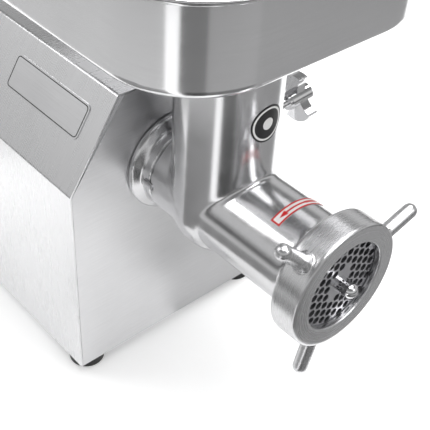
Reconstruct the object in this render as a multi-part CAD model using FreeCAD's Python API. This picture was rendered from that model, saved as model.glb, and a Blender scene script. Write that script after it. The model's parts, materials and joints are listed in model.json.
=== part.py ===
import FreeCAD, Part
import math
import os
from FreeCAD import Vector

# Table-top electric meat grinder, built as its separate pieces, in millimetres, +Z up.
#
# Working frame, used by every function: the barrel axis is the Y axis (x = 0, z = 0), the flat front
# face of the ring nut is at y = 0 and the casing lies towards +Y. save_all() moves everything so that
# the origin ends up at the bottom centre of the whole machine's box.

# ---- Cutting set and ring nut
PLATE_RADIUS = 41.0
PLATE_THICKNESS = 8.0
PLATE_HOLE_RADIUS = 3.0
PLATE_HOLE_PITCH = 7.5
PLATE_HUB_RADIUS = 12.0        # nothing is drilled nearer to the centre than this
RING_WALL = 5.5                # ring nut's wall outside its thread
RING_LENGTH = 24.0
RING_LIP = 6.0                 # thickness of the lip that holds the plate
RING_LIP_COVER = 4.0           # how far the lip reaches over the plate's edge
RING_EDGE_ROUND = 2.0
THREAD_WALL = 4.9              # wall of the head's threaded mouth, outside the plate seat
LUG_RADIUS = 6.0
LUG_LENGTH = 31.0              # ring nut's outside to the centre of a lug's round end
LUG_ROOT_RADIUS = 9.0
LUG_ROOT_LENGTH = 10.0
LUG_COUNT = 3
LUG_FIRST_ANGLE = 15.5         # degrees above +X, seen from the front
KNIFE_THICKNESS = 9.5
KNIFE_BLADES = 4
KNIFE_BLADE_WIDTH = 12.0
KNIFE_HUB_RADIUS = 14.0
KNIFE_SQUARE = 14.0
PIN_RADIUS = 2.0
STUD_RADIUS = 6.0
STUD_PROUD = 10.0              # how far the auger's stud stands out past the ring nut's face
STUD_SHANK = 22.0              # length of the stud's threaded end inside the auger

# ---- Head casting: barrel, neck and shank
BARREL_RADIUS = 38.5
BARREL_BORE = 33.0
NECK_RADIUS = 40.5
NECK_Y = 133.0                 # from the ring nut's face to the neck's axis
NECK_TOP = 159.5
NECK_BALL_DROP = 6.0           # the neck's round bottom has its centre this far under the barrel axis
THROAT_RADIUS = 31.5
SHANK_COLLAR_RADIUS = 37.0
SHANK_RADIUS = 30.0
SHANK_LENGTH = 26.5
SEAM_Y = 178.3                 # joint between the head and its socket
HEAD_BACK_WALL = 13.0

# ---- Auger
AUGER_CORE = 15.0
AUGER_PITCH = 40.0
AUGER_FLIGHT_ROOT = 14.0
AUGER_FLIGHT_TIP = 5.0
AUGER_STEPS_PER_TURN = 18
JOURNAL_RADIUS = 12.0
TANG_WIDTH = 9.0
TANG_HEIGHT = 20.0
TANG_LENGTH = 16.0
WASHER_RADIUS = 24.0
WASHER_THICKNESS = 2.5

# ---- Feed tray
TRAY_HALF_WIDTH = 123.0        # at the bottom of its walls
TRAY_FRONT_Y = 45.5
TRAY_LENGTH = 340.0
TRAY_CORNER = 66.0
TRAY_DEPTH = 66.0
TRAY_FLARE = 1.5               # how far the walls lean out over their height
TRAY_BOTTOM_ROUND = 8.0
TRAY_SHEET = 1.5
TRAY_RIM_WIDTH = 4.0
TRAY_RIM_HEIGHT = 4.0
SPIGOT_WALL = 2.0
SPIGOT_STEP = 0.5              # the spigot is this much narrower than the neck, so food meets no ledge
SPIGOT_LENGTH = 24.0

# ---- Casing
CASE_HALF_WIDTH = 112.5
CASE_TOP_HALF_WIDTH = 64.5
CASE_OFFSET = 12.5             # the barrel stands this far left of the casing's middle
CASE_FRONT_Y = 197.0
CASE_LENGTH = 245.0
CASE_BOTTOM = -193.0
CASE_CREASE = 4.5
CASE_TOP = 80.0
SHEET = 1.5
FOLD_RADIUS = 3.0
FLANGE_WIDTH = 12.0
SLANT_GAP = 5.0                # widest part of the tapered gap along the front panel's slanted edges
BASE_SHEET = 2.0
BASE_LIP = 14.0
FOOT_RADIUS = 18.0
FOOT_TAPER = 2.0
FOOT_HEIGHT = 12.0
FOOT_INSET = 18.5
FOOT_SCREW_RADIUS = 3.0
NAMEPLATE_LENGTH = 103.0
NAMEPLATE_WIDTH = 30.5
NAMEPLATE_THICKNESS = 0.8
NAMEPLATE_CORNER = 5.0
NAMEPLATE_START = 20.0         # behind the casing's front
NAMEPLATE_RISE = 55.0          # up the slanted face, from the crease to the plate's middle

# ---- Head socket and its clamp
SOCKET_BASE_RADIUS = 45.0
SOCKET_BASE_LENGTH = 5.0
SOCKET_FLARE = 5.0
SOCKET_DEPTH = 9.0             # how far the socket reaches behind the casing's front
SOCKET_PIN_RADIUS = 2.5
CLAMP_TILT = 5.0               # degrees that the clamp screw rises towards its knob
CLAMP_SCREW_RADIUS = 5.0
CLAMP_BOSS_RADIUS = 8.5
CLAMP_BOSS_REACH = 46.0
CLAMP_PAD_LENGTH = 3.0
KNOB_DISTANCE = 141.0          # barrel axis to the middle of the knob's wings
KNOB_RADIUS = 23.0
KNOB_THICKNESS = 10.0
KNOB_BITE_RADIUS = 20.5
KNOB_BITE_DISTANCE = 27.5
KNOB_TURN = 25.0               # degrees that the bites are turned up from level
KNOB_HUB_RADIUS = 8.5
KNOB_HUB_LENGTH = 24.0

# ---- Drive train: two spur stages from the motor to the auger
MOTOR_PINION_TEETH = 14
LAY_GEAR_TEETH = 42
FIRST_MODULE = 2.0
LAY_PINION_TEETH = 15
OUTPUT_GEAR_TEETH = 40
SECOND_MODULE = 2.5
PRESSURE_ANGLE = math.radians(20.0)
TOOTH_ADDENDUM = 0.8           # in modules
TOOTH_DEDENDUM = 1.1           # in modules
TOOTH_BACKLASH = 0.25
LAY_X = 45.0                   # sideways place of the layshaft
FIRST_FACE = 20.0
SECOND_FACE = 28.0
GEAR_SIDE_GAP = 4.0
OUTPUT_FRONT_RADIUS = 17.0
OUTPUT_SHAFT_RADIUS = 15.0
LAY_SHAFT_RADIUS = 10.0
MOTOR_SHAFT_RADIUS = 10.0
BEARING_WALL = 8.0             # radial size of a bearing
SEAL_LENGTH = 4.5
GEARBOX_FRONT_WALL = 16.0
GEARBOX_WALL = 5.0
COVER_THICKNESS = 10.0
GASKET_THICKNESS = 1.0
GEARBOX_LEFT = -62.0
GEARBOX_RIGHT = 95.0
GEARBOX_BOTTOM = -116.0
GEARBOX_TOP = 58.0

# ---- Motor
MOTOR_RADIUS = 62.0
MOTOR_WALL = 3.0
MOTOR_LENGTH = 106.0
STATOR_LENGTH = 70.0
STATOR_START = 21.0            # behind the gearbox cover
ROTOR_RADIUS = 36.0
AIR_GAP = 0.8
WINDING_LENGTH = 13.0
END_SHIELD_THICKNESS = 8.0
FAN_RADIUS = 48.0
FAN_LENGTH = 10.0
FAN_BLADES = 8
COWL_LENGTH = 22.0
COWL_WALL = 1.5
CAPACITOR_RADIUS = 20.0
CAPACITOR_LENGTH = 80.0
CAPACITOR_LIFT = 10.0          # clear height between the motor and the capacitor

# ---- Switch and mains inlet
SWITCH_Y = 335.0
SWITCH_Z = -60.0
SWITCH_SPACING = 36.0
BEZEL_WIDTH = 46.0
BEZEL_HEIGHT = 88.0
BEZEL_THICKNESS = 3.0
BUTTON_RADIUS = 10.5
BUTTON_PROUD = 4.5
BUTTON_TRAVEL = 3.0
SLEEVE_WALL = 2.0
SWITCH_BLOCK_DEPTH = 26.0
GLAND_X = -60.0
GLAND_Z = -150.0
GLAND_THREAD_RADIUS = 10.0
GLAND_BORE = 5.0
GLAND_HEX = 26.0               # across flats
GLAND_LENGTH = 30.0

# ---- Clearances
RUNNING = 0.06                 # radial, a shaft turning in its bore
CLEAR = 0.3                    # between pieces that pass each other
LOOSE = 0.5                    # between pieces that only have to miss each other
BORE_GAP = 0.6                 # auger flights inside the barrel

# ---- Places that follow from the sizes above
PLATE_FRONT = RING_LIP
PLATE_BACK = PLATE_FRONT + PLATE_THICKNESS
PLATE_SEAT_RADIUS = PLATE_RADIUS + CLEAR
MOUTH_RADIUS = PLATE_SEAT_RADIUS + THREAD_WALL
MOUTH_FRONT = PLATE_FRONT + 0.5 * PLATE_THICKNESS
RING_RADIUS = MOUTH_RADIUS + CLEAR + RING_WALL
LUG_REACH = RING_RADIUS + LUG_LENGTH
KNIFE_FRONT = PLATE_BACK + CLEAR
KNIFE_BACK = KNIFE_FRONT + KNIFE_THICKNESS
MOUTH_BACK = KNIFE_BACK + 1.0
HEAD_BACK = SEAM_Y - CLEAR
BORE_BACK = HEAD_BACK - HEAD_BACK_WALL
WASHER_FRONT = BORE_BACK - WASHER_THICKNESS
AUGER_BACK = WASHER_FRONT - CLEAR
AUGER_FRONT = KNIFE_BACK + CLEAR + LOOSE
SHANK_BACK = HEAD_BACK + SHANK_LENGTH
SOCKET_BACK = CASE_FRONT_Y + SOCKET_DEPTH
CASE_BACK_Y = CASE_FRONT_Y + CASE_LENGTH
CASE_LEFT = CASE_OFFSET - CASE_HALF_WIDTH
CASE_RIGHT = CASE_OFFSET + CASE_HALF_WIDTH
GEARBOX_FRONT = SOCKET_BACK
GEARBOX_INSIDE = GEARBOX_FRONT + GEARBOX_FRONT_WALL
SECOND_START = GEARBOX_INSIDE + GEAR_SIDE_GAP
SECOND_END = SECOND_START + SECOND_FACE
FIRST_START = SECOND_END + GEAR_SIDE_GAP
FIRST_END = FIRST_START + FIRST_FACE
GEARBOX_BACK = FIRST_END + GEAR_SIDE_GAP
COVER_FRONT = GEARBOX_BACK + GASKET_THICKNESS
COVER_BACK = COVER_FRONT + COVER_THICKNESS
FIRST_CENTRES = 0.5 * FIRST_MODULE * (MOTOR_PINION_TEETH + LAY_GEAR_TEETH)
SECOND_CENTRES = 0.5 * SECOND_MODULE * (LAY_PINION_TEETH + OUTPUT_GEAR_TEETH)
LAY_Z = -math.sqrt(SECOND_CENTRES ** 2 - LAY_X ** 2)
MOTOR_X = 0.0
MOTOR_Z = LAY_Z - math.sqrt(FIRST_CENTRES ** 2 - LAY_X ** 2)
SHAFT_FRONT = SHANK_BACK + 0.5
TANG_BACK = SHAFT_FRONT + TANG_LENGTH
MOTOR_BACK = COVER_BACK + MOTOR_LENGTH
SHIELD_BACK = MOTOR_BACK + END_SHIELD_THICKNESS
STATOR_FRONT = COVER_BACK + STATOR_START
STATOR_BACK = STATOR_FRONT + STATOR_LENGTH
FAN_FRONT = SHIELD_BACK + 3.0
CLAMP_Y = 0.5 * (SEAM_Y + CASE_FRONT_Y)
TRAY_BOTTOM = NECK_TOP + LOOSE
TRAY_TOP = TRAY_BOTTOM + TRAY_DEPTH
SPIGOT_BORE = THROAT_RADIUS - SPIGOT_STEP
SPIGOT_RADIUS = SPIGOT_BORE + SPIGOT_WALL
FLOOR_Z = CASE_BOTTOM - FOOT_HEIGHT

Y_AXIS = Vector(0, 1, 0)


# ---- Shared shapes

def block(x0, x1, y0, y1, z0, z1):
    """Box between two corners."""
    return Part.makeBox(x1 - x0, y1 - y0, z1 - z0, Vector(x0, y0, z0))


def rod(radius, y0, y1, x=0.0, z=0.0):
    """Cylinder whose axis runs along Y."""
    return Part.makeCylinder(radius, y1 - y0, Vector(x, y0, z), Y_AXIS)


def tube(outer, inner, y0, y1, x=0.0, z=0.0):
    """Ring or tube whose axis runs along Y."""
    return rod(outer, y0, y1, x, z).cut(rod(inner, y0 - 1, y1 + 1, x, z))


def post(radius, x, y, z0, z1):
    """Upright cylinder."""
    return Part.makeCylinder(radius, z1 - z0, Vector(x, y, z0))


def cross_rod(radius, x0, x1, y, z):
    """Cylinder whose axis runs along X."""
    return Part.makeCylinder(radius, x1 - x0, Vector(x0, y, z), Vector(1, 0, 0))


def turned(profile):
    """Solid of revolution about the barrel axis, from (radius, y) corners."""
    corners = [Vector(radius, y, 0) for radius, y in profile]
    face = Part.Face(Part.makePolygon(corners + corners[:1]))
    return face.revolve(Vector(0, 0, 0), Y_AXIS, 360)


def prism(outline, y0, y1):
    """Solid with an (x, z) outline between two stations along Y."""
    corners = [Vector(x, y0, z) for x, z in outline]
    face = Part.Face(Part.makePolygon(corners + corners[:1]))
    return face.extrude(Vector(0, y1 - y0, 0))


def fused(shapes):
    """One solid from overlapping shapes, with the leftover seams removed."""
    return shapes[0].multiFuse(shapes[1:]).removeSplitter()


def group(shapes):
    """Separate solids kept in one node."""
    return Part.makeCompound(shapes)


def hexagon(flats, y0, y1, x, z):
    """Hexagonal bar along Y."""
    corner = flats / math.sqrt(3.0)
    angles = [math.radians(60 * step) for step in range(6)]
    return prism([(x + corner * math.cos(a), z + corner * math.sin(a)) for a in angles], y0, y1)


def edges_along(shape, direction, where):
    """Straight edges parallel to a direction whose middle passes a test."""
    found = []
    for edge in shape.Edges:
        if edge.Curve.TypeId != "Part::GeomLine":
            continue
        middle = edge.CenterOfMass
        if abs(abs(edge.Curve.Direction.dot(direction)) - 1) < 1e-6 and where(middle):
            found.append(edge)
    return found


# ---- Cutting set

def hole_centres():
    """Hexagonal field of drillings round the hub, with one left out on each side of it."""
    reach = PLATE_RADIUS - RING_LIP_COVER - PLATE_HOLE_RADIUS + 0.5
    column_step = PLATE_HOLE_PITCH * math.sqrt(0.75)
    columns = int(reach / column_step) + 1
    bare_z = 1.5 * PLATE_HOLE_PITCH
    centres = []
    for column in range(-columns, columns + 1):
        x = column * column_step
        shift = 0.5 * PLATE_HOLE_PITCH * (column % 2)
        for row in range(-columns - 1, columns + 1):
            z = row * PLATE_HOLE_PITCH + shift
            bare = min(math.hypot(x - column_step, z - bare_z), math.hypot(x + column_step, z + bare_z))
            if PLATE_HUB_RADIUS <= math.hypot(x, z) <= reach and bare > PLATE_HOLE_RADIUS:
                centres.append((x, z))
    return centres


def hole_plate():
    """Drilled plate with a bore for the auger's stud and a notch for its pin."""
    disc = rod(PLATE_RADIUS, PLATE_FRONT, PLATE_BACK)
    drills = [rod(PLATE_HOLE_RADIUS, PLATE_FRONT - 1, PLATE_BACK + 1, x, z) for x, z in hole_centres()]
    drills.append(rod(STUD_RADIUS + RUNNING, PLATE_FRONT - 1, PLATE_BACK + 1))
    drills.append(rod(PIN_RADIUS + CLEAR, PLATE_FRONT - 1, PLATE_BACK + 1, 0, -PLATE_SEAT_RADIUS))
    return disc.cut(drills)


def cross_knife():
    """Four-bladed knife on the auger's square."""
    reach = PLATE_RADIUS - PIN_RADIUS - 1.5
    arms = [rod(KNIFE_HUB_RADIUS, KNIFE_FRONT, KNIFE_BACK)]
    half = 0.5 * KNIFE_BLADE_WIDTH
    for blade in range(KNIFE_BLADES):
        outline = [(0, -half), (reach, -0.6 * half), (reach, half), (0, half)]
        arm = prism(outline, KNIFE_FRONT, KNIFE_BACK)
        arm.rotate(Vector(0, 0, 0), Y_AXIS, blade * 360.0 / KNIFE_BLADES)
        arms.append(arm)
    side = 0.5 * KNIFE_SQUARE
    square = block(-side, side, KNIFE_FRONT - 1, KNIFE_BACK + 1, -side, side)
    return fused(arms).cut(square)


def plate_pin():
    """Pin in the head's mouth that stops the plate turning."""
    return rod(PIN_RADIUS, MOUTH_FRONT + 0.5, KNIFE_BACK, 0, -PLATE_SEAT_RADIUS)


# ---- Ring nut

def lug(angle):
    """Round-ended bar with a thicker root, standing on the ring nut."""
    height = 0.5 * RING_LENGTH
    outward = Vector(math.cos(angle), 0, math.sin(angle))
    start = RING_RADIUS - 5.0
    middle = Vector(0, height, 0)
    bar = Part.makeCylinder(LUG_RADIUS, LUG_REACH - start, middle + outward * start, outward)
    root_at = middle + outward * start
    root = Part.makeCone(LUG_ROOT_RADIUS, LUG_RADIUS, LUG_ROOT_LENGTH, root_at, outward)
    ball = Part.makeSphere(LUG_RADIUS, middle + outward * LUG_REACH)
    return fused([bar, root, ball]).cut(rod(RING_RADIUS, 0, RING_LENGTH))


def ring_lugs():
    """The ring nut's three turning lugs."""
    return group([lug(math.radians(LUG_FIRST_ANGLE + k * 360.0 / LUG_COUNT)) for k in range(LUG_COUNT)])


def ring_nut():
    """Ring nut: lip, plate recess and threaded bore."""
    body = rod(RING_RADIUS, 0, RING_LENGTH)
    body = body.makeFillet(RING_EDGE_ROUND, [edge for edge in body.Edges if edge.Closed])
    bores = [rod(PLATE_RADIUS - RING_LIP_COVER, -1, RING_LENGTH + 1)]
    bores.append(rod(PLATE_SEAT_RADIUS, PLATE_FRONT, RING_LENGTH + 1))
    bores.append(rod(MOUTH_RADIUS + CLEAR, MOUTH_FRONT - LOOSE, RING_LENGTH + 1))
    return body.cut(bores)


# ---- Head casting

def head_casting():
    """Barrel, threaded mouth, feed neck with a round bottom, and the shank for the socket."""
    outside = [rod(BARREL_RADIUS, MOUTH_FRONT, HEAD_BACK - 1)]
    outside.append(turned([(0, MOUTH_FRONT), (MOUTH_RADIUS, MOUTH_FRONT), (MOUTH_RADIUS, MOUTH_BACK),
                           (BARREL_RADIUS, MOUTH_BACK + 6), (0, MOUTH_BACK + 6)]))
    outside.append(post(NECK_RADIUS, 0, NECK_Y, -NECK_BALL_DROP, NECK_TOP))
    outside.append(Part.makeSphere(NECK_RADIUS, Vector(0, NECK_Y, -NECK_BALL_DROP)))
    outside.append(rod(SHANK_COLLAR_RADIUS, NECK_Y, HEAD_BACK))
    outside.append(rod(SHANK_RADIUS, HEAD_BACK - 1, SHANK_BACK))
    inside = [rod(BARREL_BORE, MOUTH_FRONT - 1, BORE_BACK)]
    inside.append(rod(PLATE_SEAT_RADIUS, MOUTH_FRONT - 1, KNIFE_BACK + LOOSE))
    inside.append(post(THROAT_RADIUS, 0, NECK_Y, 0, NECK_TOP + 1))
    seat_bottom = NECK_TOP - SPIGOT_LENGTH
    inside.append(post(SPIGOT_RADIUS + CLEAR, 0, NECK_Y, seat_bottom, NECK_TOP + 1))
    inside.append(rod(JOURNAL_RADIUS + RUNNING, BORE_BACK - 1, SHANK_BACK + 1))
    inside.append(rod(PIN_RADIUS, MOUTH_FRONT - 1, KNIFE_BACK, 0, -PLATE_SEAT_RADIUS))
    inside.append(rod(SOCKET_PIN_RADIUS + CLEAR, HEAD_BACK - 5, HEAD_BACK + 1, -SHANK_COLLAR_RADIUS, 0))
    return outside[0].multiFuse(outside[1:]).cut(inside)


def thrust_washer():
    """Washer between the auger and the back wall of the barrel."""
    return tube(WASHER_RADIUS, JOURNAL_RADIUS + CLEAR, WASHER_FRONT, BORE_BACK)


# ---- Auger

def flight_section(angle, start):
    """Four corners of the flight's cross-section at one angle of the helix."""
    y = start + AUGER_PITCH * angle / (2 * math.pi)
    tip = BARREL_BORE - BORE_GAP
    buried = AUGER_CORE - 2.0
    corners = [(buried, -AUGER_FLIGHT_ROOT), (tip, -AUGER_FLIGHT_TIP), (tip, AUGER_FLIGHT_TIP),
               (buried, AUGER_FLIGHT_ROOT)]
    across = [(radius, y + 0.5 * offset) for radius, offset in corners]
    return [Vector(r * math.cos(angle), along, r * math.sin(angle)) for r, along in across]


def triangle(a, b, c):
    """Flat face on three points."""
    return Part.Face(Part.makePolygon([a, b, c, a]))


def helical_flight(start, end):
    """Flight of the auger as flat facets whose corners lie on the helix."""
    span = end - start
    steps = int(span / AUGER_PITCH * AUGER_STEPS_PER_TURN)
    turn = 2 * math.pi / AUGER_STEPS_PER_TURN
    sections = [flight_section(step * turn, start) for step in range(steps + 1)]
    first = sections[0]
    last = sections[-1]
    faces = [triangle(first[0], first[1], first[2]), triangle(first[0], first[2], first[3])]
    faces += [triangle(last[0], last[2], last[1]), triangle(last[0], last[3], last[2])]
    for here, there in zip(sections, sections[1:]):
        for k in range(4):
            n = (k + 1) % 4
            faces.append(triangle(here[k], there[k], there[n]))
            faces.append(triangle(here[k], there[n], here[n]))
    solid = Part.makeSolid(Part.makeShell(faces))
    if solid.Volume < 0:
        solid.reverse()
    return solid


def auger():
    """Auger with its flight, journal and driving tang, bored for the stud."""
    flight = helical_flight(AUGER_FRONT + 0.5 * AUGER_FLIGHT_ROOT, AUGER_BACK - 0.5 * AUGER_FLIGHT_ROOT)
    core = rod(AUGER_CORE, AUGER_FRONT, AUGER_BACK)
    journal = rod(JOURNAL_RADIUS, AUGER_BACK - 1, SHANK_BACK)
    tang = block(-0.5 * TANG_WIDTH, 0.5 * TANG_WIDTH, SHANK_BACK - 1, TANG_BACK,
                 -0.5 * TANG_HEIGHT, 0.5 * TANG_HEIGHT)
    return core.multiFuse([flight, journal, tang]).cut(rod(STUD_RADIUS, 0, AUGER_FRONT + STUD_SHANK))


def auger_stud():
    """Stud screwed into the auger: the knife's square and the round end that runs in the plate."""
    side = 0.5 * KNIFE_SQUARE - 0.02
    square = block(-side, side, KNIFE_FRONT, AUGER_FRONT, -side, side)
    tip_y = STUD_RADIUS - STUD_PROUD
    stud = rod(STUD_RADIUS, tip_y, AUGER_FRONT + STUD_SHANK)
    tip = Part.makeSphere(STUD_RADIUS, Vector(0, tip_y, 0))
    return fused([stud, square, tip])


# ---- Feed tray

def rounded_outline(half_width, front, back, corner, z):
    """Closed wire of a rectangle with round corners, lying level."""
    edges = []
    centres = [(half_width - corner, front + corner, -90), (half_width - corner, back - corner, 0),
               (corner - half_width, back - corner, 90), (corner - half_width, front + corner, 180)]
    ends = []
    for cx, cy, start in centres:
        first = math.radians(start)
        points = [Vector(cx + corner * math.cos(first + a), cy + corner * math.sin(first + a), z)
                  for a in (0, math.pi / 4, math.pi / 2)]
        edges.append(Part.Arc(*points).toShape())
        ends.append(points)
    for this, following in zip(ends, ends[1:] + ends[:1]):
        edges.append(Part.LineSegment(this[2], following[0]).toShape())
    return Part.Wire(Part.__sortEdges__(edges))


def tray_block(inset, z0, z1, extra_top):
    """Solid with the tray's flared form, shrunk by inset all round."""
    front = TRAY_FRONT_Y + inset
    back = TRAY_FRONT_Y + TRAY_LENGTH - inset
    half = TRAY_HALF_WIDTH - inset
    low = rounded_outline(half, front, back, TRAY_CORNER - inset, z0)
    grow = TRAY_FLARE * (z1 - z0) / TRAY_DEPTH + extra_top
    high = rounded_outline(half + grow, front - grow, back + grow, TRAY_CORNER - inset + grow, z1)
    return Part.makeLoft([low, high], True, True)


def bottom_edges(shape, z):
    """Edges that lie in one level plane."""
    return [e for e in shape.Edges if abs(e.BoundBox.ZMin - z) < 1e-6 and abs(e.BoundBox.ZMax - z) < 1e-6]


def feed_tray():
    """Deep sheet tray with round corners and a turned-out rim."""
    outer = tray_block(0.0, TRAY_BOTTOM, TRAY_TOP, 0.0)
    outer = outer.makeFillet(TRAY_BOTTOM_ROUND, bottom_edges(outer, TRAY_BOTTOM))
    floor = TRAY_BOTTOM + TRAY_SHEET
    inner = tray_block(TRAY_SHEET, floor, TRAY_TOP + 1.0, 0.0)
    inner = inner.makeFillet(TRAY_BOTTOM_ROUND - TRAY_SHEET, bottom_edges(inner, floor))
    reach = TRAY_FLARE + TRAY_RIM_WIDTH
    back = TRAY_FRONT_Y + TRAY_LENGTH
    rim_wire = rounded_outline(TRAY_HALF_WIDTH + reach, TRAY_FRONT_Y - reach, back + reach,
                               TRAY_CORNER + reach, TRAY_TOP - TRAY_RIM_HEIGHT)
    rim = Part.Face(rim_wire).extrude(Vector(0, 0, TRAY_RIM_HEIGHT))
    rim = rim.makeFillet(0.45 * TRAY_RIM_HEIGHT, [e for e in rim.Edges if e.BoundBox.ZLength < 1e-6])
    throat = post(SPIGOT_RADIUS, 0, NECK_Y, TRAY_BOTTOM - 1, floor + 1)
    return fused([outer, rim]).cut([inner, throat])


def tray_spigot():
    """Collar under the tray that plugs into the neck."""
    outer = post(SPIGOT_RADIUS, 0, NECK_Y, NECK_TOP - SPIGOT_LENGTH + LOOSE, TRAY_BOTTOM + TRAY_SHEET)
    return outer.cut(post(SPIGOT_BORE, 0, NECK_Y, 0, TRAY_TOP))


# ---- Casing

def case_outline(inset):
    """Front view of the casing, shrunk by inset on the sides and top; (x, z) from bottom left."""
    rise = CASE_TOP - CASE_CREASE
    run = CASE_HALF_WIDTH - CASE_TOP_HALF_WIDTH
    lean = math.atan2(run, rise)
    side = CASE_HALF_WIDTH - inset
    crease = CASE_CREASE - inset * math.tan(0.5 * lean)
    top = CASE_TOP - inset
    top_half = CASE_TOP_HALF_WIDTH - inset * math.tan(0.5 * (0.5 * math.pi - lean))
    left = [(-side, CASE_BOTTOM), (-side, crease), (-top_half, top)]
    right = [(-x, z) for x, z in reversed(left)]
    return [(x + CASE_OFFSET, z) for x, z in left + right]


def folded_block(inset, y0, y1, radius):
    """Solid with the casing's section and rounded folds."""
    solid = prism(case_outline(inset), y0, y1)
    folds = edges_along(solid, Y_AXIS, lambda middle: middle.z > CASE_BOTTOM + 1)
    return solid.makeFillet(radius, folds)


def flange(y0):
    """Inward flange that a panel is screwed against."""
    outer = prism(case_outline(0.5 * SHEET), y0, y0 + SHEET)
    return outer.cut(prism(case_outline(SHEET + FLANGE_WIDTH), y0 - 1, y0 + SHEET + 1))


def nameplate_frame(shape):
    """Carry a shape from a level sheet onto the slanted left face of the casing."""
    rise = CASE_TOP - CASE_CREASE
    run = CASE_HALF_WIDTH - CASE_TOP_HALF_WIDTH
    slope = math.degrees(math.atan2(rise, run))
    shape.rotate(Vector(0, 0, 0), Y_AXIS, -slope)
    shape.translate(Vector(CASE_LEFT, 0, CASE_CREASE))
    return shape


def housing_shell():
    """One folded sheet: both sides, both slanted faces and the top, with its two panel flanges."""
    outer = folded_block(0.0, CASE_FRONT_Y, CASE_BACK_Y, FOLD_RADIUS)
    inner = folded_block(SHEET, CASE_FRONT_Y - 1, CASE_BACK_Y + 1, FOLD_RADIUS - SHEET)
    drop = block(CASE_LEFT + SHEET, CASE_RIGHT - SHEET, CASE_FRONT_Y - 1, CASE_BACK_Y + 1,
                 CASE_BOTTOM - 1, CASE_BOTTOM + 1)
    shell = outer.cut([inner, drop])
    front = flange(CASE_FRONT_Y + SHEET)
    back = flange(CASE_BACK_Y - 2 * SHEET)
    clear = block(CASE_LEFT, CASE_RIGHT, CASE_FRONT_Y - 1, CASE_BACK_Y + 1,
                  CASE_BOTTOM - 1, CASE_BOTTOM + BASE_LIP + LOOSE)
    flanges = [f.cut(clear) for f in (front, back)]
    solid = fused([shell] + flanges)
    sleeve = BUTTON_RADIUS + LOOSE + SLEEVE_WALL
    holes = [cross_rod(sleeve, CASE_RIGHT - 5, CASE_RIGHT + 5, SWITCH_Y, z) for z in button_heights()]
    return solid.cut(holes)


def panel_outline(gap):
    """Outline of an end panel; the gap is the extra width lost at the top of its slanted edges."""
    low_left, crease_left, top_left, top_right, crease_right, low_right = case_outline(SHEET + CLEAR)
    top_left = (top_left[0] + gap, top_left[1])
    top_right = (top_right[0] - gap, top_right[1])
    return [low_left, crease_left, top_left, top_right, crease_right, low_right]


def front_panel():
    """Separate front sheet with the round opening for the head socket."""
    sheet = prism(panel_outline(SLANT_GAP), CASE_FRONT_Y, CASE_FRONT_Y + SHEET)
    opening = rod(SHANK_COLLAR_RADIUS + 1.0, CASE_FRONT_Y - 1, CASE_FRONT_Y + SHEET + 1)
    return sheet.cut(opening)


def rear_screw_places():
    """(x, z) of the screws that hold the rear panel."""
    side = CASE_HALF_WIDTH - 0.6 * FLANGE_WIDTH
    low = CASE_BOTTOM + BASE_LIP + 12.0
    high = CASE_CREASE - 18.0
    top = CASE_TOP - 0.6 * FLANGE_WIDTH
    half = 0.5 * CASE_TOP_HALF_WIDTH
    places = [(-side, low), (side, low), (-side, high), (side, high), (-half, top), (half, top)]
    return [(x + CASE_OFFSET, z) for x, z in places]


def rear_panel():
    """Rear sheet with louvre slots, a hole for the cable gland and its screw holes."""
    y0 = CASE_BACK_Y - SHEET
    sheet = prism(panel_outline(0.0), y0, CASE_BACK_Y)
    cuts = [rod(GLAND_THREAD_RADIUS + 0.2, y0 - 1, CASE_BACK_Y + 1, GLAND_X, GLAND_Z)]
    for row in range(7):
        z = MOTOR_Z - 30.0 + row * 12.0
        cuts.append(block(-38, 38, y0 - 1, CASE_BACK_Y + 1, z, z + 4.0))
    cuts += [rod(2.1, y0 - 1, CASE_BACK_Y + 1, x, z) for x, z in rear_screw_places()]
    return sheet.cut(cuts)


def rear_screws():
    """Pan-head screws of the rear panel, heads outside and points in front of the flange."""
    screws = []
    for x, z in rear_screw_places():
        head = rod(4.0, CASE_BACK_Y, CASE_BACK_Y + 2.2, x, z)
        slot = block(x - 4.5, x + 4.5, CASE_BACK_Y + 1.2, CASE_BACK_Y + 3, z - 0.6, z + 0.6)
        shank = rod(1.9, CASE_BACK_Y - SHEET, CASE_BACK_Y + 0.5, x, z)
        screws.append(head.cut(slot).fuse(shank))
    return group(screws)


def base_plate():
    """Folded bottom tray that carries the feet, the motor cradle and the gearbox stand."""
    left = CASE_LEFT + SHEET + 0.2
    right = CASE_RIGHT - SHEET - 0.2
    front = CASE_FRONT_Y + 2 * SHEET + 0.4
    back = CASE_BACK_Y - 2 * SHEET - 0.4
    outer = block(left, right, front, back, CASE_BOTTOM, CASE_BOTTOM + BASE_LIP)
    hollow = block(left + BASE_SHEET, right - BASE_SHEET, front + BASE_SHEET, back - BASE_SHEET,
                   CASE_BOTTOM + BASE_SHEET, CASE_BOTTOM + BASE_LIP + 1)
    holes = [post(FOOT_SCREW_RADIUS + 0.2, x, y, CASE_BOTTOM - 1, CASE_BOTTOM + 5) for x, y in foot_places()]
    return outer.cut([hollow] + holes)


def foot_places():
    """(x, y) of the four feet."""
    left = CASE_LEFT + FOOT_INSET
    right = CASE_RIGHT - FOOT_INSET
    near = CASE_FRONT_Y + FOOT_INSET
    far = CASE_BACK_Y - FOOT_INSET
    return [(left, near), (right, near), (left, far), (right, far)]


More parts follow.
